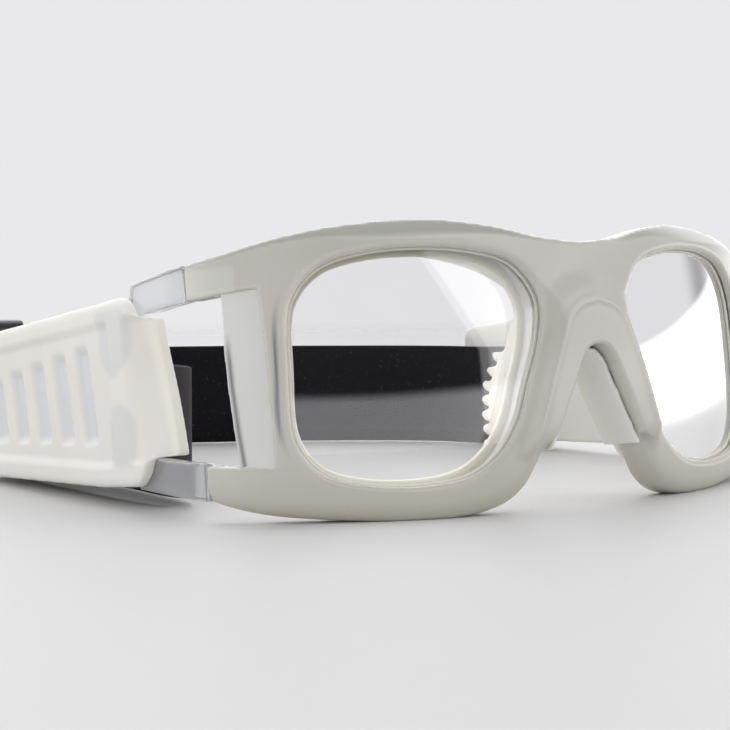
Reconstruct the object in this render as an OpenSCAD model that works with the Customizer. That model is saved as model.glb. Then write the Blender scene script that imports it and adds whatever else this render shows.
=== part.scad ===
// Sports protective goggles: milky one-piece front, clear side arms, clear lenses,
// silicone nose cushion and temple pads, and an adjustable elastic head strap.
// Row frame: +Z up, -Y front, +X to the right seen from the front, origin under the middle.
// The spectacle group is drawn upright in its own frame and leans back onto the strap.

/* [Front] */
// Radius of the front's horizontal wrap curve
wrap_radius = 122; // [110:1:140]
// Half width at which the corner curve begins
corner_start = 60; // [55:0.5:62]
// Radius of the outer corner curve
corner_radius = 21.7; // [18:0.1:24]
// Depth of the front ring behind its face
front_depth = 6.4; // [5:0.1:8]
// Wall thickness of the front's side stubs
stub_depth = 3.2; // [2.8:0.1:4]
// Height the nose ridge stands proud
ridge_height = 2.2; // [1:0.1:3]

/* [Lenses] */
// Lens thickness
lens_thickness = 2.0; // [1.6:0.1:2.6]
// Depth of the lens face behind the front face
lens_inset = 2.2; // [1.8:0.1:3]

/* [Side arms and pads] */
// Side arm thickness
arm_thickness = 2.6; // [2.2:0.1:3]
// Rear end of the temple pads
pad_rear = 114; // [110:0.5:116]
// Thickness of each silicone wall of the pad
pad_wall = 2.2; // [1.8:0.1:2.6]
// Number of finger grooves in each pad
groove_count = 5; // [3:1:6]
// Distance between finger grooves
groove_pitch = 9.3; // [8:0.1:11]

/* [Strap] */
// Width of the elastic
strap_width = 25; // [20:0.5:30]
// Thickness of the elastic
strap_thickness = 1.5; // [1.2:0.1:2]

/* [Stance] */
// Angle the goggles lean back when they stand on a table
lean = 6.6; // [4:0.1:9]

/* [Hidden] */
$fn = 48;
mid_y = 76.9;
stand = 28.3;
corner_angle = asin(corner_start / wrap_radius);
corner_x = corner_start - corner_radius * sin(corner_angle);
corner_y = wrap_radius - wrap_radius * cos(corner_angle) + corner_radius * cos(corner_angle);
side_x = corner_x + corner_radius;
half_strap = strap_width / 2;
clear_gap = 0.3;

// Half of the front's edge, from the middle of the brow out to the temple.
brow_edge = [[0, 21.4], [10.6, 22.5], [21.2, 24.7], [34, 26], [47.7, 25.2], [55.5, 24], [63, 22.2], [71.6, 19.4]];
// Half of the lower edge, from the temple in to the top of the nose arch.
chin_edge = [[71.6, -21.4], [65.2, -23.8], [58, -25.4], [47.7, -26.8], [40, -27.6], [34, -27.8], [28.5, -27.6],
             [23.3, -26.8], [19.4, -25.4], [16.4, -23.2], [14.4, -20.6], [12.6, -17.6]];
arch_edge = [[11.2, -15], [9.2, -11.1], [7.4, -7.4], [5.8, -4.2], [4.4, -1.2], [3.2, 0.5], [1.7, 1.6], [0, 1.9]];
ridge_edge = [[0, 10.4], [4.4, 9.6], [7.4, 6.8], [9.6, 2.8], [12, -2.4], [14.6, -8], [17.2, -13.6], [17.6, -17]];
// Lens opening, outer end first, through the brow side to the nose and back below.
opening = [[58.5, 0], [57.6, 11.4], [52.5, 17.8], [44, 20.3], [34, 20.8], [24, 19.9], [16, 17.4], [11.2, 11],
           [12, 3.6], [15, -4.2], [17.6, -11.2], [21.7, -16.8], [28, -20.5], [36.7, -21.5], [46.4, -20.7],
           [54, -18], [58.2, -11.4]];
opening_mid = [34.8, -0.4];

// Strap route, as [x, y, height of the middle above the table]: from the left pad's stud,
// round the back, through the slider, past the right pad's stud, and folded back on itself.
strap_route = [[64.8, 81, 13.5], [64.8, 86, 13.5], [64.6, 95, 12.9], [63.4, 104, 12.6], [58.5, 114, 12.6],
               [50, 123, 12.6], [38, 132, 12.6], [24, 141, 12.6], [8, 149, 12.6], [-10, 155, 12.6],
               [-28, 156.5, 12.6], [-43, 152.6, 12.8], [-53, 144, 14.2], [-58.4, 133, 15.6], [-61, 122, 15.6],
               [-63.4, 110, 14.8], [-64.6, 98, 13.9], [-64.8, 86, 13.5], [-64.8, 72, 14.6], [-64.5, 59, 14.8],
               [-63.6, 50.6, 14.4], [-60.9, 47, 13.9], [-57.9, 49, 13.7], [-56.2, 56, 13.6], [-55.2, 68, 13.4],
               [-54.8, 84, 13.2], [-55.6, 100, 13.2], [-57.9, 112, 14.6], [-58.9, 122, 15.6], [-57.2, 129.5, 15.6]];
stud_y = 86;
stud_height = 13.5;
slider_place = [-59, 127, 16.7];
slider_turn = -13.5;

function mix(a, b, t) = a * (1 - t) + b * t;
function smooth(p0, p1, p2, p3, t) =
  0.5 * (2 * p1 + (p2 - p0) * t + (2 * p0 - 5 * p1 + 4 * p2 - p3) * t * t + (3 * p1 - p0 - 3 * p2 + p3) * t * t * t);
function at(p, i) = p[max(0, min(len(p) - 1, i))];
function ring_at(p, i) = p[(i + len(p)) % len(p)];
function open_curve(p, n) =
  concat([for (i = [0:len(p) - 2]) for (k = [0:n - 1]) smooth(at(p, i - 1), p[i], p[i + 1], at(p, i + 2), k / n)],
         [p[len(p) - 1]]);
function closed_curve(p, n) =
  [for (i = [0:len(p) - 1]) for (k = [0:n - 1])
     smooth(ring_at(p, i - 1), p[i], ring_at(p, i + 1), ring_at(p, i + 2), k / n)];
function flip(p) = [for (i = [len(p) - 1:-1:0]) [-p[i][0], p[i][1]]];
function back(p) = [for (i = [len(p) - 1:-1:0]) p[i]];
function about(p, c, s) = [for (q = p) c + (q - c) * s];

// Plan position on the outer skin: angle of the skin's normal, and depth behind it.
function skin(a, d) =
  abs(a) < corner_angle
    ? [(wrap_radius - d) * sin(a), wrap_radius - (wrap_radius - d) * cos(a)]
    : [sign(a) * (corner_x + (corner_radius - d) * sin(abs(a))), corner_y - (corner_radius - d) * cos(a)];
function wall(a, d, e) = abs(a) < corner_angle ? d : mix(d, e, (abs(a) - corner_angle) / (90 - corner_angle));
function skin_line(d, e, rear) =
  concat([[-(side_x - e), rear]], [for (a = [-90:3:90]) skin(a, wall(a, d, e))], [[side_x - e, rear]]);

// A wrapped wall between two depths; e values apply along the straight sides.
module shell(d0, d1, e0, e1, rear, low, high) {
  translate([0, 0, low])
    linear_extrude(high - low)
      polygon(concat(skin_line(d0, e0, rear), back(skin_line(d1, e1, rear))));
}

module along_y(y0, y1) {
  translate([0, y1, 0])
    rotate([90, 0, 0])
      linear_extrude(y1 - y0)
        children();
}

// Draws a profile given as [y, z] and gives it thickness in x.
module along_x(x0, x1) {
  translate([x0, 0, 0])
    rotate([90, 0, 90])
      linear_extrude(x1 - x0)
        children();
}

module lean_back() {
  translate([0, -mid_y, stand])
    rotate([-lean, 0, 0])
      children();
}

// Undoes lean_back, for a piece set by its place above the table.
module stand_up() {
  rotate([lean, 0, 0])
    translate([0, mid_y, -stand])
      children();
}

module mirrored(side) {
  if (side > 0) children();
  else mirror([1, 0, 0]) children();
}

front_half = concat(open_curve(brow_edge, 4), open_curve(chin_edge, 3), open_curve(arch_edge, 3));
front_outline = concat(front_half, [for (i = [len(front_half) - 2:-1:1]) [-front_half[i][0], front_half[i][1]]]);
ridge_half = concat(open_curve(ridge_edge, 3), [[12.6, -17.6]], open_curve(arch_edge, 3));
ridge_outline = concat(ridge_half, [for (i = [len(ridge_half) - 2:-1:1]) [-ridge_half[i][0], ridge_half[i][1]]]);
opening_curve = closed_curve(opening, 4);

module opening_shape(s) {
  polygon(about(opening_curve, opening_mid, s));
}

// The lens disc in its place, a little larger all round than the opening.
module lens_body(s, d0, d1) {
  intersection() {
    shell(d0, d1, d0, d1, 40, -30, 30);
    along_y(-2, 40) opening_shape(s);
  }
}

module arm_solid() {
  // Window bar, seated in the front's side opening.
  intersection() {
    shell(0.5, 0.5 + arm_thickness - 0.6, 0.5, arm_thickness, 60, -30, 30);
    along_x(61, 80) polygon([[17.2, 14.6], [22, 14.2], [20.6, -16.1], [16.6, -16.7]]);
  }
  // Upper and lower tabs buried in the front.
  intersection() {
    shell(1, arm_thickness, 1, arm_thickness, 60, -30, 30);
    union() {
      along_x(40, 80) polygon([[20.4, 18.6], [28.4, 18], [28.4, 13.2], [20.4, 14.3]]);
      along_x(40, 80) polygon([[19.4, -16.2], [26.2, -14.9], [26.2, -20.4], [19.4, -21.6]]);
    }
  }
  // Clear bars with the two strap-side hooks at their ends.
  intersection() {
    shell(0, arm_thickness, 0, arm_thickness, 90, -30, 30);
    union() {
      along_x(50, 80)
        polygon(concat([[28.4, 19.9], [46, 18.4], [47, 15.6], [59.3, 14.9]],
                       [for (a = [0:-12:-180]) [53.5 + 5.8 * cos(a), 7.6 + 5.8 * sin(a)]],
                       [[47.4, 12.1], [28.4, 13.3]]));
      along_x(50, 80)
        polygon(concat([[26.2, -21.5], [46.8, -18.9], [48.6, -17], [56, -16.4]],
                       [for (a = [0:12:180]) [51.7 + 4.3 * cos(a), -7.6 + 4.3 * sin(a)]],
                       [[47.4, -12.8], [45, -12.9], [26.2, -14.8]]));
    }
  }
}

module side_arm(side) {
  color([0.86, 0.88, 0.9, 0.5])
    lean_back()
      mirrored(side)
        arm_solid();
}

module frame_front() {
  color([0.76, 0.75, 0.71])
    intersection() {
      lean_back()
        difference() {
          union() {
            intersection() {
              shell(0, front_depth, 0, stub_depth, 60, -32, 32);
              along_y(-1, 40) polygon(front_outline);
            }
            intersection() {
              shell(-ridge_height, 1, -1, 1, 20, -20, 12);
              along_y(-4, 12) polygon(ridge_outline);
            }
          }
          for (side = [-1, 1])
            mirrored(side) {
              along_y(-4, 30) opening_shape(1);
              lens_body(1.05, 1.4, 5);
              along_x(61, 80) polygon([[17.2, 14.6], [40, 12.4], [40, -13.3], [16.6, -16.7]]);
              arm_solid();
              along_x(45, 80) polygon([[28.4, 30], [80, 30], [80, -30], [26.2, -30], [26.2, 0], [28.4, 0]]);
            }
        }
      // The lowest points are flat where the front stands on a table.
      translate([-100, -100, 0]) cube([200, 200, 80]);
    }
}

module lens(side) {
  color([0.9, 0.93, 0.95, 0.35])
    lean_back()
      mirrored(side)
        lens_body(1.03, lens_inset, lens_inset + lens_thickness);
}

module lens_gasket(side) {
  color([0.93, 0.9, 0.84])
    lean_back()
      mirrored(side)
        difference() {
          lens_body(1.05, 1.4, 5);
          along_y(-4, 40) opening_shape(0.982);
          lens_body(1.03, lens_inset, lens_inset + lens_thickness);
        }
}

// Saddle behind the bridge and brows.
saddle_low = [[30, 21.3], [26.7, 20], [20.9, 18.8], [15.5, 17.1], [12.3, 15.6], [8.9, 13.9], [7.7, 12.4], [7.7, 9.1],
              [9.4, 5.8], [10.6, 3], [11.2, 0.4]];
saddle_half = concat([[0, 20.8], [12, 21.6], [22, 23.2], [31, 23.8], [36.5, 22.6], [37.5, 21.4]],
                     open_curve(saddle_low, 2), [[11.4, -2.4], [7, -2.4]], open_curve([[4.6, -2.2], [3, -0.4], [0, 1]], 2));
saddle_outline = concat(saddle_half, [for (i = [len(saddle_half) - 2:-1:1]) [-saddle_half[i][0], saddle_half[i][1]]]);

// One nose wing: a plate that flares back and out, with soft fingers along its rear edge.
fingers = [[4.1, -17], [4.9, -14.1], [5.9, -11.4], [6.6, -8.5], [7.2, -5.6], [7, -2.6], [6.7, 0.5]];
module nose_wing() {
  translate([6.1, front_depth + 2.7, -1])
    rotate([0, -24, 0])
      rotate([0, 0, -30])
        along_x(0, 2.2) {
          polygon(concat([[0, 3.2], [4.6, 3.4]], [for (k = [6:-1:0]) fingers[k] - [0.8, 0]],
                         [[2.6, -19], [1.4, -20.4], [-0.6, -20.4]]));
          for (f = fingers) {
            translate([f[0] - 2.4, f[1] - 0.8]) square([2.4, 1.6]);
            translate(f) circle(0.8);
          }
        }
}

// The space under the nose arch, made smaller or larger all round.
module arch_space(grow) {
  half = concat([[14.6, -22]], open_curve(arch_edge, 3));
  intersection() {
    offset(delta = grow) polygon(concat(half, flip(half)));
    translate([-20, -17]) square([40, 40]);
  }
}

module nose_cushion() {
  color([0.95, 0.93, 0.87])
    lean_back()
      union() {
        // Lip that lines the arch, and the flange behind it.
        along_y(0.8, 10) difference() {
          arch_space(-0.35);
          arch_space(-1.2);
        }
        along_y(front_depth + 1.5, 10.2) difference() {
          arch_space(3.4);
          arch_space(-1.2);
        }
        intersection() {
          shell(front_depth + 0.3, front_depth + 4, front_depth, front_depth + 3.4, 40, -30, 30);
          along_y(0, 40) polygon(saddle_outline);
        }
        for (side = [-1, 1])
          mirrored(side)
            nose_wing();
      }
}

pad_out = side_x + pad_wall;
pad_in = side_x - arm_thickness - pad_wall;
function groove_y(k) = 60 + groove_pitch * k;

module pad_profile() {
  polygon([[47.5, 16.9], [52, 16.6], [pad_rear - 3, 14.9], [pad_rear - 3, -14.6], [58, -18.2], [46.3, -18.4]]);
  polygon([[42.5, 12], [48, 12], [48, -13], [40.5, -13]]);
  polygon([[pad_rear - 4, 11], [pad_rear, 11], [pad_rear, -11], [pad_rear - 4, -11]]);
  translate([47.5, 11.9]) circle(5);
  translate([46.3, -12.6]) circle(5.8);
  translate([pad_rear - 4, 10.9]) circle(4);
  translate([pad_rear - 4, -10.6]) circle(4);
}

module pad_solid() {
  difference() {
    union() {
      along_x(pad_in, pad_out) pad_profile();
      // Inner flap that reaches forward into the arm's window.
      along_x(pad_in, side_x - arm_thickness) polygon([[43, 12.2], [50, 12.2], [50, -13.2], [36.6, -13.2], [38.6, -2]]);
    }
    // Pocket that grips the arm's hooks.
    along_x(side_x - arm_thickness, side_x)
      polygon([[30, 30], [47, 30], [47, 15.9], [60.4, 15.3], [60.4, -16.9], [48.9, -17.4], [48.9, -30], [30, -30]]);
    // Finger grooves, shorter towards the rear.
    for (k = [0:groove_count - 1])
      along_x(pad_out - 1.1, pad_out + 1) {
        translate([groove_y(k), -7.4 + 0.5 * k]) square([4.2, 14.4 - 1.2 * k]);
        translate([groove_y(k) + 2.1, 7 - 0.7 * k]) circle(2.1);
        translate([groove_y(k) + 2.1, -7.4 + 0.5 * k]) circle(2.1);
      }
    // Shallow field inside the raised rim.
    along_x(pad_out - 0.5, pad_out + 1) polygon([[50, 11.6], [pad_rear - 5, 10.2], [pad_rear - 5, -10], [50, -12.8]]);
  }
}

// Thick part of the flap, which fills the space between the arm's two bars.
module pad_tongue() {
  along_x(side_x - arm_thickness - 0.5, pad_out - 1.2) polygon([[43, 11.9], [47, 11.8], [47, -12.4], [38, -13], [39.4, -2]]);
}

module temple_pad(side) {
  color([0.9, 0.88, 0.84])
    lean_back()
      mirrored(side)
        difference() {
          union() {
            pad_solid();
            pad_tongue();
          }
          stand_up() stud_solid();
        }
}

// A band on edge, swept along its route; each station is a thin upright rectangle.
module ribbon(route, width, thick, steps) {
  p = open_curve(route, steps);
  n = len(p);
  pts = [for (i = [0:n - 1])
           let (a = at(p, i - 1), b = at(p, i + 1), t = [b[0] - a[0], b[1] - a[1]],
                u = [-t[1], t[0]] / norm(t) * thick / 2)
             for (s = [[1, -1], [-1, -1], [-1, 1], [1, 1]])
               [p[i][0] + u[0] * s[0], p[i][1] - mid_y + u[1] * s[0], p[i][2] + width / 2 * s[1]]];
  sides = [for (i = [0:n - 2]) for (k = [0:3])
             [4 * i + k, 4 * i + (k + 1) % 4, 4 * i + 4 + (k + 1) % 4, 4 * i + 4 + k]];
  polyhedron(points = pts, faces = concat([[3, 2, 1, 0]], sides, [[4 * n - 4, 4 * n - 3, 4 * n - 2, 4 * n - 1]]));
}

// Stud drawn in the row frame on the +X side: head, stem through the strap, flange in the pad.
module stud_solid() {
  translate([0, stud_y - mid_y, stud_height])
    rotate([0, 90, 0]) {
      translate([0, 0, 62.2]) cylinder(d = 10, h = 1.3);
      translate([0, 0, 63.5]) cylinder(d = 6, h = pad_in + 1.4 - 63.5);
      translate([0, 0, pad_in + 0.6]) cylinder(d = 9, h = 0.8);
    }
}

module strap_stud(side) {
  color([0.8, 0.8, 0.78])
    mirrored(side)
      stud_solid();
}

module strap() {
  color([0.09, 0.09, 0.1])
    difference() {
      ribbon(strap_route, strap_width, strap_thickness, 3);
      for (side = [-1, 1])
        mirrored(side)
          translate([62, stud_y - mid_y, stud_height])
            rotate([0, 90, 0])
              cylinder(d = 6.1, h = 4.6);
    }
}

// Flat adjuster that wraps the main run and the returning end.
module strap_slider() {
  color([0.14, 0.14, 0.15])
    translate([slider_place[0], slider_place[1] - mid_y, slider_place[2]])
      rotate([0, 0, slider_turn])
        difference() {
          along_x(-4.6, 4.6) rounded_plate(12, 33, 3);
          translate([-3.1, -10, -14.4]) cube([6.2, 20, 26.6]);
        }
}

module rounded_plate(w, h, r) {
  square([w - 2 * r, h], center = true);
  square([w, h - 2 * r], center = true);
  for (i = [-1, 1])
    for (j = [-1, 1])
      translate([i * (w / 2 - r), j * (h / 2 - r)])
        circle(r);
}

// Rows of thread across the strap beside each stud.
module strap_stitching() {
  color([0.2, 0.2, 0.22])
    for (side = [-1, 1])
      mirrored(side)
        for (row = [0:1])
          for (k = [0:6])
            translate([63.55, 93.4 + 1.8 * row - mid_y, 4.2 + 3 * k])
              cube([0.45, 0.7, 2]);
}

frame_front();
side_arm(-1);  // side_arm_right
side_arm(1);  // side_arm_left
lens(-1);  // lens_right
lens(1);  // lens_left
lens_gasket(-1);  // lens_gasket_right
lens_gasket(1);  // lens_gasket_left
nose_cushion();
temple_pad(-1);  // temple_pad_right
temple_pad(1);  // temple_pad_left
strap_stud(-1);  // strap_stud_right
strap_stud(1);  // strap_stud_left
strap();
strap_slider();
strap_stitching();
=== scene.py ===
"""Looks for the sports goggles: a milky moulded front, clear arms and lenses, silicone pads, woven strap."""

import math

import bpy
import numpy as np
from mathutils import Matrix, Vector


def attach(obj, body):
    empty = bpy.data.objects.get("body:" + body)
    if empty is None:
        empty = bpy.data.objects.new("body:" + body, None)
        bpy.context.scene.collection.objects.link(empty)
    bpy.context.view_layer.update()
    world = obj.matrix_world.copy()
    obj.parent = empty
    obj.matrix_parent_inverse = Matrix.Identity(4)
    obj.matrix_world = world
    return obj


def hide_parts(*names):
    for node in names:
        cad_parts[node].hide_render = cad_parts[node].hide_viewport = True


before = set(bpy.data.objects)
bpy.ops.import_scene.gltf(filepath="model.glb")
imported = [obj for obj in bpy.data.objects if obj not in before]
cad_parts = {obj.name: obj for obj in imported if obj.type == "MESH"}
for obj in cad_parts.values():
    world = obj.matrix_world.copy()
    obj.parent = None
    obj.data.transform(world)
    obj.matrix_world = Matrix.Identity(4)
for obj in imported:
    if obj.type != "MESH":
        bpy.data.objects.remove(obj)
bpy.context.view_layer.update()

MM = 0.001
scene = bpy.context.scene


CAMERA_LENS = 86.25
CAMERA_PLACE = (-0.23081, -0.3085, 0.043045)
CAMERA_AIM = (0.6072, 0.7929, -0.05116)


def make_camera():
    camera = bpy.data.objects.new("camera", bpy.data.cameras.new("camera"))
    scene.collection.objects.link(camera)
    camera.data.lens = CAMERA_LENS
    camera.location = CAMERA_PLACE
    camera.rotation_mode = "QUATERNION"
    camera.rotation_quaternion = Vector(CAMERA_AIM).to_track_quat("-Z", "Y")
    camera.data.clip_start = 0.01
    scene.camera = camera


make_camera()
scene.view_settings.view_transform = "Standard"

# Sizes of the goggles in millimetres, in their own upright frame: x to the side, y back, z up.
WRAP_RADIUS = 122.0
CORNER_START = 60.0
CORNER_RADIUS = 21.7
BOW = 0.0022
LEAN = math.radians(6.6)
MID_Y = 76.9
STAND = 28.3
FRONT_DEPTH = 6.4
STUB_DEPTH = 3.2
RIDGE_HEIGHT = 2.2
LENS_DEPTHS = (2.2, 4.2)
ARM_THICKNESS = 2.6
PAD_WALL = 2.2
PAD_REAR = 114.0
FIRST_GROOVE = 59.2
GROOVE_PITCH = 9.3
GROOVE_COUNT = 5
STRAP_WIDTH = 25.0
STRAP_THICKNESS = 1.5
STRAP_RING_PITCH = 0.45
WEAVE_PITCH = 0.9
RIB_PITCH = 0.8
STITCH_HALF = 1.15
STITCH_RADIUS = 0.26
SLIDER_PLACE = (-59.0, 127.0, 16.7)
SLIDER_TURN = -13.5

CORNER_ANGLE = math.asin(CORNER_START / WRAP_RADIUS)
CORNER_X = CORNER_START - CORNER_RADIUS * math.sin(CORNER_ANGLE)
CORNER_Y = WRAP_RADIUS * (1 - math.cos(CORNER_ANGLE)) + CORNER_RADIUS * math.cos(CORNER_ANGLE)
FRONT_RUN = WRAP_RADIUS * CORNER_ANGLE
SIDE_RUN = FRONT_RUN + CORNER_RADIUS * (math.pi / 2 - CORNER_ANGLE)

# Outlines as [half width, height], from the middle outwards or back in.
BROW = [[0, 21.4], [10.6, 22.5], [21.2, 24.7], [34, 26], [47.7, 25.2], [55.5, 24], [63, 22.2]]
CHIN = [[65.2, -23.8], [58, -25.4], [47.7, -26.8], [40, -27.6], [34, -27.8], [28.5, -27.6], [23.3, -26.8],
        [19.4, -25.4], [16.4, -23.2], [14.4, -20.6], [12.6, -17.6]]
ARCH = [[11.2, -15], [9.2, -11.1], [7.4, -7.4], [5.8, -4.2], [4.4, -1.2], [3.2, 0.5], [1.7, 1.6], [0, 1.9]]
RIDGE = [[16.2, -17], [15.2, -13.6], [13.2, -8], [11.2, -2.4], [9, 2.8], [6.9, 7], [4.2, 9.4], [0, 10.5]]
OPENING = [[58.5, 0], [57.6, 11.4], [52.5, 17.8], [44, 20.3], [34, 20.8], [24, 19.9], [16, 17.4], [11.2, 11],
           [12, 3.6], [15, -4.2], [17.6, -11.2], [21.7, -16.8], [28, -20.5], [36.7, -21.5], [46.4, -20.7],
           [54, -18], [58.2, -11.4]]
OPENING_MID = (34.8, -0.4)

# Strap route as [x, y from the front, height of its middle]: from the left stud round the back to the right
# stud, then folded back on itself.
STRAP_ROUTE = [[64.8, 81, 13.5], [64.8, 86, 13.5], [64.6, 95, 12.9], [63.4, 104, 12.6], [58.5, 114, 12.6],
               [50, 123, 12.6], [38, 132, 12.6], [24, 141, 12.6], [8, 149, 12.6], [-10, 155, 12.6],
               [-28, 156.5, 12.6], [-43, 152.6, 12.8], [-53, 144, 14.2], [-58.4, 133, 15.6], [-61, 122, 15.6],
               [-63.4, 110, 14.8], [-64.6, 98, 13.9], [-64.8, 86, 13.5], [-64.8, 72, 14.6], [-64.5, 59, 14.8],
               [-63.6, 50.6, 14.4], [-60.9, 47, 13.9], [-57.9, 49, 13.7], [-56.2, 56, 13.6], [-55.2, 68, 13.4],
               [-54.8, 84, 13.2], [-55.6, 100, 13.2], [-57.9, 112, 14.6], [-58.9, 122, 15.6], [-57.2, 129.5, 15.6]]


# ---------------------------------------------------------------- shapes

def curve(points, steps=8, closed=False):
    """A smooth curve through the points."""
    p = np.array(points, float)
    last = len(p) - 1
    spans = []
    for i in range(len(p) if closed else last):
        near = (i - 1, i, i + 1, i + 2)
        a, b, c, d = (p[k % len(p)] if closed else p[min(max(k, 0), last)] for k in near)
        t = np.arange(steps)[:, None] / steps
        square = (2 * a - 5 * b + 4 * c - d) * t**2
        cube = (3 * b - a - 3 * c + d) * t**3
        spans.append(0.5 * (2 * b + (c - a) * t + square + cube))
    if not closed:
        spans.append(p[-1:])
    return np.vstack(spans)


def arc(centre, radius, start, end, steps=12):
    a = np.radians(np.linspace(start, end, steps + 1))
    return np.c_[centre[0] + radius * np.cos(a), centre[1] + radius * np.sin(a)]


def smooth_step(t):
    t = np.clip(t, 0, 1)
    return t * t * (3 - 2 * t)


def run_of_x(x):
    """Distance along the outer skin, from the middle, of the point at half width x."""
    if x <= CORNER_START:
        return WRAP_RADIUS * math.asin(x / WRAP_RADIUS)
    return FRONT_RUN + CORNER_RADIUS * (math.asin((x - CORNER_X) / CORNER_RADIUS) - CORNER_ANGLE)


def run_of_y(y):
    """The same for a point on the corner or the side, y behind the front."""
    if y >= CORNER_Y:
        return SIDE_RUN + y - CORNER_Y
    return FRONT_RUN + CORNER_RADIUS * (math.acos((CORNER_Y - y) / CORNER_RADIUS) - CORNER_ANGLE)


def flat(points):
    """[half width, height] points laid out flat along the skin."""
    return [[run_of_x(x), z] for x, z in points]


def side(points):
    """[y, height] points of the corner or the side laid out flat along the skin."""
    return [[run_of_y(y), z] for y, z in points]


def wrap(p):
    """Flat points (run, depth, height) bent round the skin into the upright frame."""
    run, depth, z = np.abs(p[:, 0]), p[:, 1], p[:, 2]
    on_front = run < FRONT_RUN
    a = np.where(on_front, run / WRAP_RADIUS, CORNER_ANGLE + (run - FRONT_RUN) / CORNER_RADIUS)
    a = np.minimum(a, math.pi / 2)
    x = np.where(on_front, (WRAP_RADIUS - depth) * np.sin(a), CORNER_X + (CORNER_RADIUS - depth) * np.sin(a))
    y = np.where(on_front, WRAP_RADIUS - (WRAP_RADIUS - depth) * np.cos(a),
                 CORNER_Y - (CORNER_RADIUS - depth) * np.cos(a))
    y = y + np.maximum(run - SIDE_RUN, 0)
    bow = BOW * z * z * smooth_step((SIDE_RUN - run) / (SIDE_RUN - FRONT_RUN))
    return np.c_[np.sign(p[:, 0]) * x, y + bow, z]


def lean(p):
    """Upright millimetres to metres in the row frame. Nothing goes below the table."""
    y = p[:, 1] * math.cos(LEAN) + p[:, 2] * math.sin(LEAN) - MID_Y
    z = -p[:, 1] * math.sin(LEAN) + p[:, 2] * math.cos(LEAN) + STAND
    return np.c_[p[:, 0], y, np.maximum(z, 0)] * MM


def unlean(p):
    """Row frame metres back to upright millimetres."""
    y, z = p[:, 1] / MM + MID_Y, p[:, 2] / MM - STAND
    return np.c_[p[:, 0] / MM, y * math.cos(LEAN) - z * math.sin(LEAN), y * math.sin(LEAN) + z * math.cos(LEAN)]


def distance(points, line, closed=False):
    """Distance of each point from a line of points."""
    best = np.full(len(points), 1e9)
    ends = np.roll(line, -1, axis=0) if closed else line[1:]
    for a, b in zip(line, ends):
        span = b - a
        t = np.clip(((points - a) @ span) / max(span @ span, 1e-9), 0, 1)
        best = np.minimum(best, np.linalg.norm(points - a - t[:, None] * span, axis=1))
    return best


def inside(points, outline):
    """True for each point within the closed outline."""
    hits = np.zeros(len(points), bool)
    for a, b in zip(outline, np.roll(outline, -1, axis=0)):
        if a[1] == b[1]:
            continue
        crosses = (a[1] > points[:, 1]) != (b[1] > points[:, 1])
        hits ^= crosses & (points[:, 0] < a[0] + (points[:, 1] - a[1]) * (b[0] - a[0]) / (b[1] - a[1]))
    return hits


def both_sides(half):
    """A closed outline from one side's line and its mirror image."""
    half = np.array(half, float)
    mirror = half[::-1] * (-1, 1)
    return np.vstack([half, mirror])


def read_mesh(mesh):
    points = np.empty(len(mesh.vertices) * 3)
    mesh.vertices.foreach_get("co", points)
    return points.reshape(-1, 3), [tuple(f.vertices) for f in mesh.polygons]


def evaluated(obj):
    result = bpy.data.meshes.new_from_object(obj.evaluated_get(bpy.context.evaluated_depsgraph_get()))
    bpy.data.objects.remove(obj)
    return result


def temporary(data):
    obj = bpy.data.objects.new("temporary", data)
    scene.collection.objects.link(obj)
    return obj


def slab(outlines, near, far):
    """A flat plate (run, depth, height) between two depths. Outlines after the first are holes in it."""
    data = bpy.data.curves.new("slab", "CURVE")
    data.dimensions = "2D"
    data.fill_mode = "BOTH"
    data.extrude = (far - near) / 2
    for outline in outlines:
        spline = data.splines.new("POLY")
        spline.points.add(len(outline) - 1)
        for point, (x, z) in zip(spline.points, outline):
            point.co = (x, z, 0, 1)
        spline.use_cyclic_u = True
    points, faces = read_mesh(evaluated(temporary(data)))
    return np.c_[points[:, 0], (near + far) / 2 - points[:, 2], points[:, 1]], faces


def make_mesh(name, points, faces):
    mesh = bpy.data.meshes.new(name)
    mesh.from_pydata(points.tolist(), [], [list(f) for f in faces])
    mesh.update()
    return mesh


def fused(parts, voxel, rounds):
    """One closed surface round overlapping solids, with even faces and softened edges."""
    points, faces, count = [], [], 0
    for part_points, part_faces in parts:
        points.append(part_points)
        faces += [tuple(i + count for i in f) for f in part_faces]
        count += len(part_points)
    obj = temporary(make_mesh("fused", np.vstack(points), faces))
    weld = obj.modifiers.new("weld", "WELD")
    weld.merge_threshold = 0.001
    remesh = obj.modifiers.new("remesh", "REMESH")
    remesh.mode = "VOXEL"
    remesh.voxel_size = voxel
    soften = obj.modifiers.new("soften", "SMOOTH")
    soften.iterations = rounds
    return read_mesh(evaluated(obj))


def piece(name, points, faces, body, material, nodes, masks=None):
    """A finished smooth-shaded piece in the row frame that stands for CAD nodes."""
    mesh = make_mesh(name, points, faces)
    mesh.polygons.foreach_set("use_smooth", [True] * len(mesh.polygons))
    for mask, values in (masks or {}).items():
        layer = mesh.attributes.new(mask, "FLOAT", "POINT")
        layer.data.foreach_set("value", np.asarray(values, np.float32))
    mesh.materials.append(material)
    obj = bpy.data.objects.new(name, mesh)
    scene.collection.objects.link(obj)
    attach(obj, body)
    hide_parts(*nodes)
    return obj


# ---------------------------------------------------------------- materials

def material(name, **sockets):
    made = bpy.data.materials.new(name)
    made.use_nodes = True
    shader = made.node_tree.nodes["Principled BSDF"]
    for socket, value in sockets.items():
        shader.inputs[socket.replace("_", " ")].default_value = value
    return made, made.node_tree, shader


def add_node(tree, kind, **settings):
    node = tree.nodes.new(kind)
    for key, value in settings.items():
        if key in node.inputs:
            node.inputs[key].default_value = value
        else:
            setattr(node, key, value)
    return node


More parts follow.
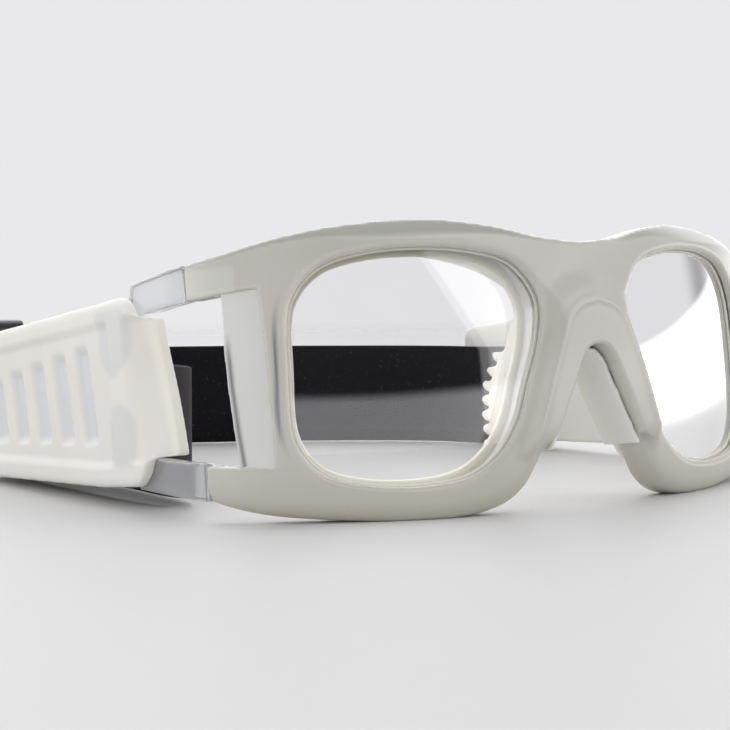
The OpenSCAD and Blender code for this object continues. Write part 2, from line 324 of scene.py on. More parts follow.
def noise(tree, scale, detail):
    """Noise in the piece's own space. Scale is in cycles per metre."""
    place = add_node(tree, "ShaderNodeTexCoord")
    made = add_node(tree, "ShaderNodeTexNoise", Scale=scale, Detail=detail)
    tree.links.new(place.outputs["Object"], made.inputs["Vector"])
    return made.outputs["Fac"]


def two_colours(tree, factor, low, high, start, end):
    ramp = add_node(tree, "ShaderNodeValToRGB")
    ramp.color_ramp.elements[0].position = start
    ramp.color_ramp.elements[0].color = (*low, 1)
    ramp.color_ramp.elements[1].position = end
    ramp.color_ramp.elements[1].color = (*high, 1)
    tree.links.new(factor, ramp.inputs["Fac"])
    return ramp.outputs["Color"]


def mask_of(tree, name):
    return add_node(tree, "ShaderNodeAttribute", attribute_name=name).outputs["Fac"]


def mixed(tree, factor, a, b):
    mix = add_node(tree, "ShaderNodeMix", data_type="RGBA")
    tree.links.new(factor, mix.inputs["Factor"])
    colours = [s for s in mix.inputs if s.type == "RGBA"]
    for socket, value in zip(colours, (a, b)):
        if isinstance(value, tuple):
            socket.default_value = (*value, 1)
        else:
            tree.links.new(value, socket)
    return [s for s in mix.outputs if s.type == "RGBA"][0]


def bump(tree, shader, height, depth, strength):
    """A bump of that depth in metres."""
    made = add_node(tree, "ShaderNodeBump", Distance=depth, Strength=strength)
    tree.links.new(height, made.inputs["Height"])
    tree.links.new(made.outputs["Normal"], shader.inputs["Normal"])


def lets_light_through(made, tree, shader):
    """Lamps shine through the clear plastic, so that it casts no dark shadow."""
    path = add_node(tree, "ShaderNodeLightPath")
    clear = add_node(tree, "ShaderNodeBsdfTransparent", Color=(0.93, 0.94, 0.94, 1))
    mix = add_node(tree, "ShaderNodeMixShader")
    tree.links.new(path.outputs["Is Shadow Ray"], mix.inputs["Fac"])
    tree.links.new(shader.outputs["BSDF"], mix.inputs[1])
    tree.links.new(clear.outputs["BSDF"], mix.inputs[2])
    tree.links.new(mix.outputs["Shader"], tree.nodes["Material Output"].inputs["Surface"])


def milky_plastic():
    made, tree, shader = material("milky_plastic", Roughness=0.26, IOR=1.49, Subsurface_Weight=0.35,
                                  Subsurface_Scale=0.003, Coat_Weight=0.1, Coat_Roughness=0.12)
    shader.inputs["Subsurface Radius"].default_value = (1.0, 0.95, 0.85)
    base = two_colours(tree, noise(tree, 35, 2), (0.555, 0.545, 0.49), (0.615, 0.605, 0.55), 0.35, 0.65)
    # Painted shade: the lower part of the front is darker and warmer.
    low = mixed(tree, mask_of(tree, "low"), base, (0.56, 0.54, 0.465))
    # Painted light: a paler patch over each arm's upper tab.
    tab_lit = mixed(tree, mask_of(tree, "tab_painted_light"), low, (0.66, 0.66, 0.61))
    # Painted shade: the brow chamfer is darker.
    brow = mixed(tree, mask_of(tree, "brow_painted_shade"), tab_lit, (0.45, 0.45, 0.41))
    # Painted shade: a dark crescent in the groove beside each lens opening.
    rim = mixed(tree, mask_of(tree, "crescent_painted_shade"), brow, (0.26, 0.27, 0.30))
    tree.links.new(rim, shader.inputs["Base Color"])
    bump(tree, shader, noise(tree, 900, 2), 0.00001, 0.3)
    return made


def clear_plastic(name, tint, roughness):
    made, tree, shader = material(name, Roughness=roughness, IOR=1.49, Transmission_Weight=1.0)
    colour = two_colours(tree, noise(tree, 60, 2), tint, tuple(min(1, c * 1.03) for c in tint), 0.4, 0.6)
    tree.links.new(colour, shader.inputs["Base Color"])
    lets_light_through(made, tree, shader)
    return made


def arm_plastic():
    """Clear bars that run into the frosted bar beside the window."""
    made, tree, shader = material("clear_arm_plastic", IOR=1.49)
    frosted = mask_of(tree, "frosted")
    clear = two_colours(tree, noise(tree, 60, 2), (0.66, 0.67, 0.68), (0.70, 0.71, 0.72), 0.4, 0.6)
    bar = mixed(tree, frosted, clear, (0.80, 0.80, 0.78))
    # Painted shade: a dark line just inside the window bar's rear edge.
    edge_shaded = mixed(tree, mask_of(tree, "edge_painted_shade"), bar, (0.22, 0.22, 0.23))
    tree.links.new(edge_shaded, shader.inputs["Base Color"])
    for socket, at_bars, at_window in (("Transmission Weight", 0.75, 0.2), ("Roughness", 0.12, 0.3)):
        blend = add_node(tree, "ShaderNodeMapRange")
        blend.inputs["To Min"].default_value = at_bars
        blend.inputs["To Max"].default_value = at_window
        tree.links.new(frosted, blend.inputs["Value"])
        tree.links.new(blend.outputs["Result"], shader.inputs[socket])
    lets_light_through(made, tree, shader)
    return made


def silicone(name, low, high, roughness):
    made, tree, shader = material(name, Roughness=roughness, IOR=1.42, Subsurface_Weight=0.45,
                                  Subsurface_Scale=0.003)
    shader.inputs["Subsurface Radius"].default_value = (1.0, 0.9, 0.7)
    base = two_colours(tree, noise(tree, 60, 3), low, high, 0.35, 0.65)
    tree.links.new(base, shader.inputs["Base Color"])
    bump(tree, shader, noise(tree, 2500, 2), 0.00002, 0.4)
    return made, tree, shader, base


def pad_silicone():
    made, tree, shader, base = silicone("pad_silicone", (0.82, 0.80, 0.75), (0.85, 0.835, 0.79), 0.38)
    # Painted shade over the arm's hooks.
    shaded = mixed(tree, mask_of(tree, "hook_painted_shade"), base, (0.735, 0.745, 0.725))
    # Painted shade in the finger grooves.
    groove_shaded = mixed(tree, mask_of(tree, "groove"), shaded, (0.73, 0.745, 0.755))
    # Painted light: the thin front edge of the tongue glows paler.
    edge_glowing = mixed(tree, mask_of(tree, "thin_edge_glow"), groove_shaded, (0.93, 0.90, 0.82))
    tree.links.new(edge_glowing, shader.inputs["Base Color"])
    return made


def woven_elastic():
    """Black webbing: a fine weave, a little lint, and painted light on the fold."""
    made, tree, shader = material("woven_elastic", Roughness=0.88, Specular_IOR_Level=0.15, Sheen_Weight=0.04,
                                  Sheen_Roughness=0.5)
    grid = add_node(tree, "ShaderNodeUVMap", uv_map="along_across")
    split = add_node(tree, "ShaderNodeSeparateXYZ")
    tree.links.new(grid.outputs["UV"], split.inputs["Vector"])

    def wave(source, pitch):
        turns = add_node(tree, "ShaderNodeMath", operation="MULTIPLY")
        turns.inputs[1].default_value = 2 * math.pi / pitch
        tree.links.new(source, turns.inputs[0])
        sine = add_node(tree, "ShaderNodeMath", operation="SINE")
        tree.links.new(turns.outputs[0], sine.inputs[0])
        return sine.outputs[0]

    weave = add_node(tree, "ShaderNodeMath", operation="MULTIPLY")
    tree.links.new(wave(split.outputs["X"], WEAVE_PITCH), weave.inputs[0])
    tree.links.new(wave(split.outputs["Y"], RIB_PITCH), weave.inputs[1])
    lint = noise(tree, 1500, 4)
    base = two_colours(tree, lint, (0.009, 0.008, 0.011), (0.07, 0.065, 0.07), 0.62, 0.80)
    # Painted light: the fold is lighter where it faces the lamps.
    fold_lit = mixed(tree, mask_of(tree, "fold_painted_light"), base, (0.075, 0.07, 0.075))
    tree.links.new(fold_lit, shader.inputs["Base Color"])
    bump(tree, shader, weave.outputs[0], 0.00006, 0.3)
    return made


def satin_black(name, colour, roughness):
    made, tree, shader = material(name, Roughness=roughness)
    base = two_colours(tree, noise(tree, 300, 3), colour, tuple(c * 1.4 for c in colour), 0.4, 0.7)
    tree.links.new(base, shader.inputs["Base Color"])
    bump(tree, shader, noise(tree, 3000, 2), 0.00003, 0.5)
    return made


MILKY = milky_plastic()
CLEAR = arm_plastic()
LENS = clear_plastic("lens_clear", (0.985, 0.985, 0.985), 0.0)
CREAM = silicone("gasket_silicone", (0.84, 0.80, 0.68), (0.88, 0.84, 0.73), 0.4)[0]
CUSHION = silicone("cushion_silicone", (0.90, 0.88, 0.79), (0.93, 0.91, 0.84), 0.38)[0]
PAD = pad_silicone()
WEBBING = woven_elastic()
SLIDER = satin_black("slider_plastic", (0.03, 0.03, 0.032), 0.34)
THREAD = satin_black("thread_fibre", (0.03, 0.03, 0.033), 0.8)
STUD = silicone("stud_plastic", (0.66, 0.66, 0.64), (0.70, 0.70, 0.68), 0.3)[0]


# ---------------------------------------------------------------- front

UPPER_END = run_of_y(28.4)
LOWER_END = run_of_y(26.2)
OPENING_FLAT = curve(flat(OPENING), 8, closed=True)
OPENING_MID_FLAT = np.array([run_of_x(OPENING_MID[0]), OPENING_MID[1]])
BROW_LINE = curve(flat(BROW) + [[71.8, 21.0], [UPPER_END, 19.9]], 8)
CHIN_LINE = curve([[LOWER_END, -21.7]] + flat(CHIN), 6)
ARCH_LINE = curve(flat(ARCH), 6)
RIDGE_LINE = both_sides(curve(flat(RIDGE), 6))
WINDOW_LINE = np.array([[UPPER_END, 13.5]] + side([[17.2, 14.6], [16.6, -16.7]]) + [[LOWER_END, -15.3]])


def scaled_opening(scale, sign=1):
    return (OPENING_MID_FLAT + (OPENING_FLAT - OPENING_MID_FLAT) * scale) * (sign, 1)


def make_front():
    outline = both_sides(np.vstack([BROW_LINE, WINDOW_LINE, CHIN_LINE, ARCH_LINE]))
    layers = ((0, 1.6, 1.0), (1.4, 5.1, 1.05), (4.9, FRONT_DEPTH, 1.0))
    parts = [slab([outline, scaled_opening(s, 1), scaled_opening(s, -1)], near, far) for near, far, s in layers]
    points, faces = fused(parts, 0.42, 4)
    place = points[:, [0, 2]]
    half = np.abs(place[:, 0])
    folded = np.c_[half, place[:, 1]]
    through = points[:, 1] / FRONT_DEPTH

    def falling(gap, width):
        return np.clip(1 - gap / width, 0, 1)

    def round_off(gap, width, drop):
        return drop * (1 - np.sqrt(1 - falling(gap, width) ** 2))

    to_brow = distance(folded, BROW_LINE)
    to_chin = distance(folded, CHIN_LINE)
    to_arch = distance(folded, ARCH_LINE)
    to_opening = distance(folded, OPENING_FLAT, closed=True)
    to_window = distance(folded, WINDOW_LINE)
    # The brow's chamfer is widest above each lens and fades out over the nose and at the temples.
    chamfer = 0.9 + 2.6 * np.exp(-(((half - 37) / 17) ** 2))
    bevel = falling(to_brow, chamfer)
    front = chamfer * 0.62 * (0.75 * bevel + 0.25 * bevel**2)
    front += round_off(to_chin, 3.4, 2.3)
    front += round_off(to_opening, 1.5, 0.8)
    front += round_off(to_window, 0.7, 0.3)
    # A fine crescent groove lies beside the outer end of each lens opening.
    crescent = smooth_step((half - 47) / 12) * np.exp(-(((place[:, 1] + 1) / 11) ** 4))
    crescent *= np.exp(-(((to_opening - 2.2) / 0.45) ** 2))
    front += 0.5 * crescent
    # The nose ridge swells up to its crest, slowly over the bridge, and stays raised up to the arch.
    to_ridge = distance(place, RIDGE_LINE)
    within = inside(place, np.vstack([RIDGE_LINE, ARCH_LINE * (-1, 1), ARCH_LINE[::-1]]))
    share = to_ridge / (to_ridge + to_arch + 1e-6)
    swell = 2.6 + 5.0 * smooth_step((place[:, 1] - 3) / 8)
    outside = RIDGE_HEIGHT * smooth_step(1 - to_ridge / swell) * smooth_step(to_opening / 2.6)
    rise = np.where(within, RIDGE_HEIGHT - 0.3 * share, outside) + 0.3 * np.exp(-((to_ridge / 0.9) ** 2))
    front -= rise * smooth_step((place[:, 1] + 20) / 7)
    front += round_off(to_arch, 0.7, 0.5)
    round_corner = np.clip((half - FRONT_RUN) / (SIDE_RUN - FRONT_RUN), 0, 1)
    thickness = FRONT_DEPTH + (STUB_DEPTH - FRONT_DEPTH) * round_corner
    edges = np.minimum(np.minimum(to_brow, to_chin), to_arch)
    rear = thickness - round_off(edges, 1.8, 1.2) - round_off(to_opening, 0.8, 0.4)
    points[:, 1] = front + (rear - front) * through
    # Painted light over the arm's upper tab.
    tab_painted_light = smooth_step((half - 69) / 0.6) * smooth_step((place[:, 1] - 12.6) / 0.8)
    tab_painted_light *= smooth_step((18.8 + 0.5 - place[:, 1]) / 1.0)
    # Painted shade, growing towards the bottom of the front.
    low = smooth_step((-place[:, 1] - 14) / 12)
    shown = points[:, 1] < 0.5 * FRONT_DEPTH
    # Painted shade on the brow chamfer, on the outer face only.
    brow_painted_shade = shown * smooth_step(bevel / 0.3) * smooth_step((half - 8) / 10)
    # Painted shade in the crescent groove, on the outer face only.
    crescent_painted_shade = shown * crescent
    piece("front", lean(wrap(points)), faces, "spectacle", MILKY, ["frame_front"],
          {"tab_painted_light": tab_painted_light, "low": low, "brow_painted_shade": brow_painted_shade, "crescent_painted_shade": crescent_painted_shade})


# ---------------------------------------------------------------- lenses and gaskets

def ring_surface(outlines, sign, cap):
    """A closed surface through flat loops (run, depth, height), capped at both ends or joined end to end."""
    count = len(outlines[0])
    points = np.vstack(outlines) * (sign, 1, 1)
    faces = []
    rings = len(outlines)
    for i in range(rings if not cap else rings - 1):
        for k in range(count):
            a, b = i * count, (i + 1) % rings * count
            quad = (a + k, a + (k + 1) % count, b + (k + 1) % count, b + k)
            faces.append(quad if sign > 0 else quad[::-1])
    if cap:
        for ring, flip in ((0, True), (rings - 1, False)):
            middle = len(points)
            points = np.vstack([points, points[ring * count:(ring + 1) * count].mean(axis=0)])
            for k in range(count):
                tri = (ring * count + k, ring * count + (k + 1) % count, middle)
                faces.append(tri if flip == (sign < 0) else tri[::-1])
    return points, faces


def loop_at(scale, depth):
    loop = scaled_opening(scale)
    return np.c_[loop[:, 0], np.full(len(loop), depth), loop[:, 1]]


def make_lens(name, sign, node):
    near, far = LENS_DEPTHS
    scales = np.linspace(0.03, 1.0, 26)
    loops = [loop_at(1.03 * s, near) for s in scales]
    loops += [loop_at(1.035, near + 0.2), loop_at(1.035, far - 0.2)]
    loops += [loop_at(1.03 * s, far) for s in scales[::-1]]
    points, faces = ring_surface(loops, sign, cap=True)
    piece(name, lean(wrap(points)), faces, "spectacle", LENS, [node])


def make_gasket(name, sign, node):
    profile = [(1.0, 2.0), (0.985, 1.95), (0.978, 2.1), (0.978, 2.18), (1.02, 2.18), (1.035, 2.2), (1.035, 4.2),
               (1.02, 4.22), (0.955, 4.22), (0.945, 4.4), (0.945, 5.0), (0.955, 5.2), (1.0, 5.25), (1.045, 5.0),
               (1.045, 2.2), (1.03, 2.0)]
    points, faces = ring_surface([loop_at(s, d) for s, d in profile], sign, cap=False)
    piece(name, lean(wrap(points)), faces, "spectacle", CREAM, [node])


# ---------------------------------------------------------------- side arms

def make_arm(name, sign, node):
    rear_edge = side([[22, 14.2], [22.1, 9.5], [22.2, 4], [22.0, -2], [21.4, -10], [20.7, -16.3]])
    bar = np.vstack([side([[16.8, 14.9]]), rear_edge, side([[16.2, -17]])])
    upper_tab = [[70, 18.2], [UPPER_END + 1, 17.9], [UPPER_END + 1, 13.4], [70, 14.2]]
    lower_tab = [[68, -16.4], [LOWER_END + 1, -15.0], [LOWER_END + 1, -20.4], [68, -21.2]]
    upper_hook = arc((SIDE_RUN + 53.5 - CORNER_Y, 7.6), 5.8, 0, -180)
    upper = np.vstack([[[UPPER_END, 19.9]], side([[46, 18.4], [47, 15.6], [59.3, 14.9]]), upper_hook,
                       side([[47.4, 12.1]]), [[UPPER_END, 13.4]]])
    lower_hook = arc((SIDE_RUN + 51.7 - CORNER_Y, -7.6), 4.3, 0, 180)
    lower = np.vstack([[[LOWER_END, -21.6]], side([[46.8, -18.9], [48.6, -17], [56, -16.4]]), lower_hook,
                       side([[47.4, -12.8], [45, -12.9]]), [[LOWER_END, -14.9]]])
    parts = [slab([bar], 0.35, ARM_THICKNESS), slab([upper_tab], 1.0, ARM_THICKNESS),
             slab([lower_tab], 1.0, ARM_THICKNESS), slab([upper], 0.05, ARM_THICKNESS),
             slab([lower], 0.05, ARM_THICKNESS)]
    points, faces = fused(parts, 0.3, 3)
    points = points * (sign, 1, 1)
    if sign < 0:
        faces = [f[::-1] for f in faces]
    run, z = np.abs(points[:, 0]), points[:, 2]
    frosted = smooth_step((run_of_y(24.5) - run) / 1.5) * (np.abs(z) < 17)
    # Painted shade along the window bar, just inside its rear edge.
    from_rear = distance(np.c_[run, z], np.array(rear_edge))
    edge_painted_shade = np.exp(-(((from_rear - 0.9) / 0.42) ** 2)) * smooth_step((8 - z) / 6)
    edge_painted_shade *= (run < run_of_y(22.3)) * (np.abs(z) < 16)
    piece(name, lean(wrap(points)), faces, "spectacle", CLEAR, [node],
          {"frosted": frosted, "edge_painted_shade": edge_painted_shade})


# ---------------------------------------------------------------- temple pads

GROOVE_STARTS = [FIRST_GROOVE + GROOVE_PITCH * k for k in range(GROOVE_COUNT)]


def make_pad(name, sign, node):
    start = SIDE_RUN - CORNER_Y
    low_corner = arc((PAD_REAR - 4, -10.6), 4, 270, 360)
    rear = [[58, -18.2], *low_corner, *arc((PAD_REAR - 4, 10.3), 4, 0, 90), [54, 16]]
    outer_wall = np.vstack([arc((48.6, 11.3), 5, 90, 180), arc((46.3, -12.6), 5.8, 180, 270), rear])
    inner_wall = np.vstack([[[51, 16.2], [51, -18.3]], rear])
    tongue = np.array([[42.4, 12.2], [52, 12.4], [52, -13.4], [36.4, -13.2], [37.3, -8], [38.6, -2], [40.6, 5]])
    core = np.array([[60.4, 15.3], [60.4, -17.2], [PAD_REAR - 4, -14.3], [PAD_REAR - 0.6, -10],
                     [PAD_REAR - 0.6, 10], [PAD_REAR - 4, 14.4]])
    far = ARM_THICKNESS + PAD_WALL
    parts = [slab([outline + (start, 0)], near, end) for outline, near, end in
             ((outer_wall, -PAD_WALL, 0.15), (inner_wall, ARM_THICKNESS - 0.1, far), (tongue, -PAD_WALL, far),
              (core, -1, ARM_THICKNESS + 1))]
    points, faces = fused(parts, 0.42, 5)
    y, z = points[:, 0] - start, points[:, 2]
    outer = smooth_step((0.6 - points[:, 1]) / 1.6)
    # A raised rim all round, a shallow field within it, and the finger grooves.
    rim = distance(np.c_[y, z], outer_wall, closed=True)
    sink = 0.7 * smooth_step((rim - 3.4) / 1.6) * smooth_step((y - 51) / 2)
    groove = np.zeros(len(points))
    for k, first in enumerate(GROOVE_STARTS):
        along = y - first - 0.13 * z
        top, bottom = 8.2 - 0.9 * k, -9.6 + 0.5 * k
        ends = smooth_step((top + 1.0 - z) / 2.4) * smooth_step((z - bottom + 0.8) / 1.8)
        groove = np.maximum(groove, smooth_step(along / 1.6) * smooth_step((6.4 - along) / 1.8) * ends)
    sink += 0.9 * groove
    sink += 0.9 * (1 - np.sqrt(1 - np.clip(1 - rim / 1.6, 0, 1) ** 2)) * (y > 44)
    points[:, 1] += outer * sink
    # The tongue thins towards its front edge.
    front_edge = tongue[[3, 4, 5, 6, 0]]
    edge_y = np.interp(z, front_edge[:, 1], front_edge[:, 0])
    slope = np.clip((46.8 - y) / (46.8 - edge_y), 0, 1)
    thinned = 5.0 * slope**1.3 * smooth_step((13.2 - z) / 1.5) * smooth_step((z + 14.2) / 1.5)
    points[:, 1] = far - (far - points[:, 1]) * (far + PAD_WALL - thinned) / (far + PAD_WALL)
    # Painted shade greys the skin over the arm's hooks inside.
    upper = smooth_step((6.2 - np.hypot(y - 50.4, np.maximum(7.3 - z, 0))) / 1.5) * smooth_step((15.5 - z) / 2)
    lower = smooth_step((5.2 - np.hypot(y - 48.7, np.maximum(z + 7.6, 0))) / 1.5) * smooth_step((z + 15.5) / 2)
    hook_painted_shade = np.maximum(upper, lower) * smooth_step((y - 43) / 1.5)
    # Painted light along the tongue's thin front edge.
    edge = smooth_step((edge_y + 1.8 - y) / 1.2)
    points = points * (sign, 1, 1)
    if sign < 0:
        faces = [f[::-1] for f in faces]
    # The hook and groove masks carry painted shade, and the thin edge carries painted light.
    piece(name, lean(wrap(points)), faces, "spectacle", PAD, [node],
          {"hook_painted_shade": hook_painted_shade * outer, "groove": groove * outer, "thin_edge_glow": edge})


# ---------------------------------------------------------------- nose cushion

def make_cushion():
    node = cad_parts["nose_cushion"]
    points, faces = read_mesh(node.data)
    points, faces = fused([(unlean(points), faces)], 0.4, 3)
    x, y, z = points.T
    points = np.c_[x, y + BOW * z * z * np.clip(z / 10, 0, 1), z]
    piece("nose_cushion_soft", lean(points), faces, "cushion", CUSHION, ["nose_cushion"])


# ---------------------------------------------------------------- strap

def make_strap():
    """Webbing on edge along its route, with round edges and small loops along both selvedges."""
    route = curve(STRAP_ROUTE, 24)
    steps = np.r_[0, np.cumsum(np.linalg.norm(np.diff(route, axis=0), axis=1))]
    runs = np.arange(0, steps[-1], STRAP_RING_PITCH)
    route = np.c_[[np.interp(runs, steps, route[:, k]) for k in range(3)]].T
    along = np.gradient(route[:, :2], axis=0)
    normal = np.c_[-along[:, 1], along[:, 0]] / np.linalg.norm(along, axis=1)[:, None]
    half, thick = STRAP_WIDTH / 2, STRAP_THICKNESS / 2
    section = []
    for face in (1, -1):
        heights = np.linspace(-half + 0.5, half - 0.5, 9) * face
        section += [(h, face * thick, 0) for h in heights]
        section += [(face * (half - 0.18), face * thick * 0.75, 1), (face * half, 0, 1),
                    (face * (half - 0.18), -face * thick * 0.75, 1)]
    picot = 0.13 * np.sin(runs * 2 * math.pi / WEAVE_PITCH)
    rings = []
    for height, offset, edge in section:
        lift = height - np.sign(height) * edge * (0.13 + picot)
        rings.append(np.c_[route[:, 0] + normal[:, 0] * offset, route[:, 1] + normal[:, 1] * offset - MID_Y,
                           np.maximum(route[:, 2] + lift, 0.02)])
    count = len(section)
    points = np.stack(rings, axis=1).reshape(-1, 3) * MM
    faces = []
    for a in range(0, (len(runs) - 1) * count, count):
        b = a + count
        faces += [(a + k, a + (k + 1) % count, b + (k + 1) % count, b + k) for k in range(count)]
    faces.append(tuple(range(count))[::-1])
    faces.append(tuple(range((len(runs) - 1) * count, len(runs) * count)))
    # Painted light on the fold beside the pad.
    fold_painted_light = np.exp(-(((route[:, 1] - 47) / 9) ** 2)) * (route[:, 0] < 0)
    obj = piece("strap_webbing", points, faces, "head_strap", WEBBING, ["strap"],
                {"fold_painted_light": np.repeat(fold_painted_light, count)})
    grid = obj.data.uv_layers.new(name="along_across")
    corners = np.empty(len(obj.data.loops), int)
    obj.data.loops.foreach_get("vertex_index", corners)
    across = np.array([s[0] for s in section])
    uv = np.c_[runs[corners // count], across[corners % count]]
    grid.data.foreach_set("uv", uv.ravel())


def make_stitches():
    """Two rows of bar tacks beside each stud: short twisted threads bowed out of the webbing."""
    points, faces, count = [], [], 0
    for sign in (-1, 1):
        for row in range(2):
            for k in range(7):
                centre = np.array([sign * 63.95, 93.75 + 1.8 * row - MID_Y, 5.2 + 3 * k])
                for i, t in enumerate(np.linspace(-1, 1, 9)):
                    radius = STITCH_RADIUS * math.sqrt(max(1 - (0.9 * t) ** 4, 0.05)) * (1 + 0.12 * (i % 2))
                    middle = centre + (-sign * 0.12 * (1 - t * t), 0.05 * t, STITCH_HALF * t)
                    for a in np.linspace(0, 2 * math.pi, 9)[:-1]:
                        points.append(middle + radius * np.array([math.cos(a), math.sin(a), 0]))
                for i in range(8):
                    for j in range(8):
                        a, b = count + i * 8 + j, count + i * 8 + (j + 1) % 8
                        faces.append((a, b, b + 8, a + 8))
                faces.append(tuple(count + j for j in range(8))[::-1])
                faces.append(tuple(count + 64 + j for j in range(8)))
                count += 72
    piece("strap_threads", np.array(points) * MM, faces, "head_strap", THREAD, ["strap_stitching"])


def make_slider():
    """The adjuster: a sleeve of two plates joined above and below the webbing, with finger ribs."""
    corners = ((3, 13.5, 0), (-3, 13.5, 90), (-3, -13.5, 180), (3, -13.5, 270))
    plate = np.vstack([arc((y, z), 3, start, start + 90, 6) for y, z, start in corners])
    above = np.clip(plate, (-6, 12.3), (6, 16.5))
    below = np.clip(plate, (-6, -16.5), (6, -14.5))
    parts = [slab([plate], -4.6, -3.1), slab([plate], 3.1, 4.6), slab([above], -4, 4), slab([below], -4, 4)]
    for z in (-7, -4, -1, 2, 5):
        rib = np.vstack([arc((3.2, z), 0.6, -90, 90, 4), arc((-3.2, z), 0.6, 90, 270, 4)])
        parts += [slab([rib], -5.1, -4.4), slab([rib], 4.4, 5.1)]
    points, faces = fused(parts, 0.3, 3)
    turn = math.radians(SLIDER_TURN)
    y, x, z = points.T
    points = np.c_[x * math.cos(turn) - y * math.sin(turn), x * math.sin(turn) + y * math.cos(turn) - MID_Y, z]
    piece("slider_body", (points + SLIDER_PLACE) * MM, faces, "adjuster", SLIDER, ["strap_slider"])


def finish_cad_node(name, made, bevel):
    """A CAD node that stays keeps its shape, with softened edges and a finished surface."""
    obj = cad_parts[name]
    obj.data.materials.clear()
    obj.data.materials.append(made)
    edge = obj.modifiers.new("edges", "BEVEL")
    edge.width = bevel * MM
    edge.segments = 3
    edge.limit_method = "ANGLE"
    edge.angle_limit = math.radians(35)
    edge.harden_normals = False


make_front()
for word, sign in (("right", -1), ("left", 1)):
    make_lens("lens_shell_" + word, sign, "lens_" + word)
    make_gasket("lens_seal_" + word, sign, "lens_gasket_" + word)
    make_arm("clear_arm_" + word, sign, "side_arm_" + word)
    make_pad("pad_" + word, sign, "temple_pad_" + word)
    finish_cad_node("strap_stud_" + word, STUD, 0.3)
make_cushion()
make_strap()
make_stitches()
make_slider()


# ---------------------------------------------------------------- stage and light

def make_floor():
    """A round pale table that fades into the backdrop."""
    points = [(1.6 * math.cos(a), 1.6 * math.sin(a), 0) for a in np.linspace(0, 2 * math.pi, 65)[:-1]]
    mesh = bpy.data.meshes.new("floor")
    mesh.from_pydata(points, [], [tuple(range(64))])
    made, tree, shader = material("pale_table", Roughness=0.55)
    base = two_colours(tree, noise(tree, 4, 3), (0.70, 0.70, 0.695), (0.72, 0.72, 0.715), 0.3, 0.7)
    tree.links.new(base, shader.inputs["Base Color"])
    place = add_node(tree, "ShaderNodeTexCoord")
    length = add_node(tree, "ShaderNodeVectorMath", operation="LENGTH")
    tree.links.new(place.outputs["Object"], length.inputs[0])
    fade = add_node(tree, "ShaderNodeMapRange", interpolation_type="SMOOTHSTEP")
    for socket, value in (("From Min", 0.35), ("From Max", 1.3), ("To Min", 1.0), ("To Max", 0.0)):
        fade.inputs[socket].default_value = value
    tree.links.new(length.outputs["Value"], fade.inputs["Value"])
    tree.links.new(fade.outputs["Result"], shader.inputs["Alpha"])
    mesh.materials.append(made)
    floor = bpy.data.objects.new("floor", mesh)
    scene.collection.objects.link(floor)


def soft_box(name, place, size, watts, colour=(1, 1, 1)):
    data = bpy.data.lights.new(name, "AREA")
    data.shape = "RECTANGLE"
    data.size, data.size_y = size
    data.energy = watts
    data.color = colour
    lamp = bpy.data.objects.new(name, data)
    scene.collection.objects.link(lamp)
    lamp.location = place
    lamp.rotation_mode = "QUATERNION"
    lamp.rotation_quaternion = (Vector((0, 0, 0.02)) - Vector(place)).to_track_quat("-Z", "Y")
    lamp.visible_glossy = False
    return lamp


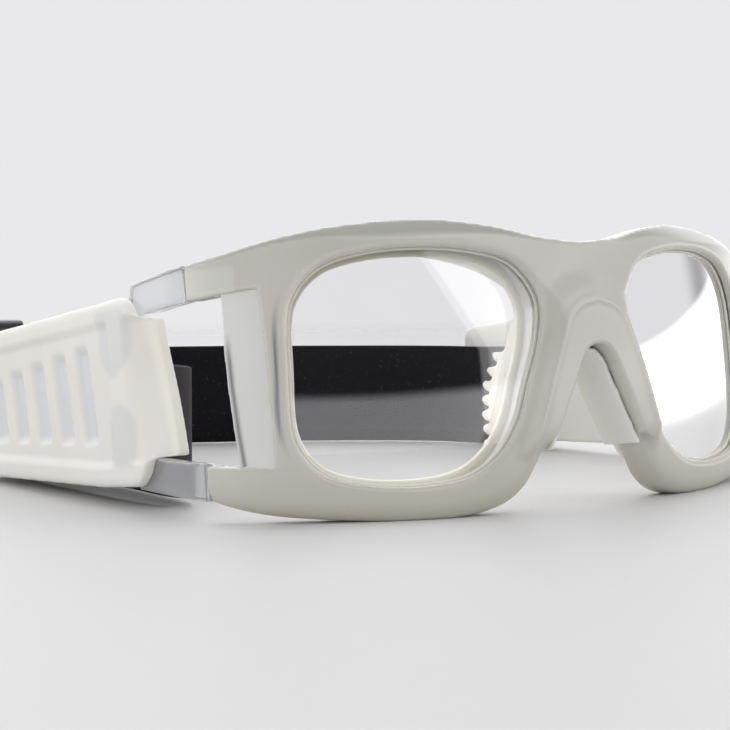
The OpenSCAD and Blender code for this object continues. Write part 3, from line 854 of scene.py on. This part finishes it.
def make_studio():
    """Pale all round to the eye. Mirror reflections see a dim room, a bright table and a tall soft box."""
    world = bpy.data.worlds.new("studio")
    scene.world = world
    world.use_nodes = True
    tree = world.node_tree
    tree.nodes.clear()
    path = add_node(tree, "ShaderNodeLightPath")
    place = add_node(tree, "ShaderNodeTexCoord")
    split = add_node(tree, "ShaderNodeSeparateXYZ")
    tree.links.new(place.outputs["Generated"], split.inputs["Vector"])

    def maths(operation, *inputs):
        node = add_node(tree, "ShaderNodeMath", operation=operation)
        for socket, value in zip(node.inputs, inputs):
            if isinstance(value, (int, float)):
                socket.default_value = value
            else:
                tree.links.new(value, socket)
        return node.outputs[0]

    def ramp(value, start, end, low, high):
        node = add_node(tree, "ShaderNodeMapRange", interpolation_type="SMOOTHSTEP")
        for socket, number in (("From Min", start), ("From Max", end), ("To Min", low), ("To Max", high)):
            node.inputs[socket].default_value = number
        tree.links.new(value, node.inputs["Value"])
        return node.outputs["Result"]

    forward = maths("MULTIPLY", split.outputs["Y"], -1)
    azimuth = maths("DEGREES", maths("ARCTAN2", split.outputs["X"], forward))
    height = maths("DEGREES", maths("ARCSINE", split.outputs["Z"]))
    ahead = ramp(forward, -0.35, 0.05, 0, 1)
    above = ramp(height, 4.6, 6.2, 0, 1)
    room = maths("ADD", maths("MULTIPLY", maths("MULTIPLY", ahead, above), -1.95), 2.0)
    # The soft box's near edge leans out with height.
    edge = maths("ADD", 20.6, maths("MULTIPLY", maths("MAXIMUM", maths("SUBTRACT", height, 9.5), 0), -1))
    beyond = ramp(maths("SUBTRACT", azimuth, edge), -0.6, 0.6, 0, 1)
    box = maths("MULTIPLY", beyond, ramp(azimuth, 44, 54, 1, 0.3))
    box = maths("MULTIPLY", box, ramp(azimuth, 82, 96, 1, 0))
    box = maths("MULTIPLY", box, ramp(height, 40, 44, 1, 0))
    box = maths("MULTIPLY", box, ramp(height, -2, 2, 0, 1))
    mirror = maths("ADD", room, maths("MULTIPLY", box, 2.3))
    seen = maths("MAXIMUM", path.outputs["Is Camera Ray"], path.outputs["Is Transmission Ray"])
    plain = maths("ADD", 0.55, maths("MULTIPLY", seen, 0.28))
    glossy = maths("MULTIPLY", path.outputs["Is Glossy Ray"], maths("MINIMUM", path.outputs["Glossy Depth"], 1))
    unmirrored = maths("MULTIPLY", maths("SUBTRACT", 1, glossy), plain)
    level = maths("ADD", maths("MULTIPLY", glossy, mirror), unmirrored)
    back = add_node(tree, "ShaderNodeBackground", Color=(0.985, 0.975, 1.0, 1))
    tree.links.new(level, back.inputs["Strength"])
    out = add_node(tree, "ShaderNodeOutputWorld")
    tree.links.new(back.outputs["Background"], out.inputs["Surface"])
    soft_box("overhead", (0.15, 0.35, 0.95), (0.9, 0.7), 3.0)
    soft_box("right_front", (0.75, -0.55, 0.4), (0.8, 0.6), 2.6)
    soft_box("left", (-0.8, -0.2, 0.4), (0.8, 0.6), 2.4)


make_floor()
make_studio()
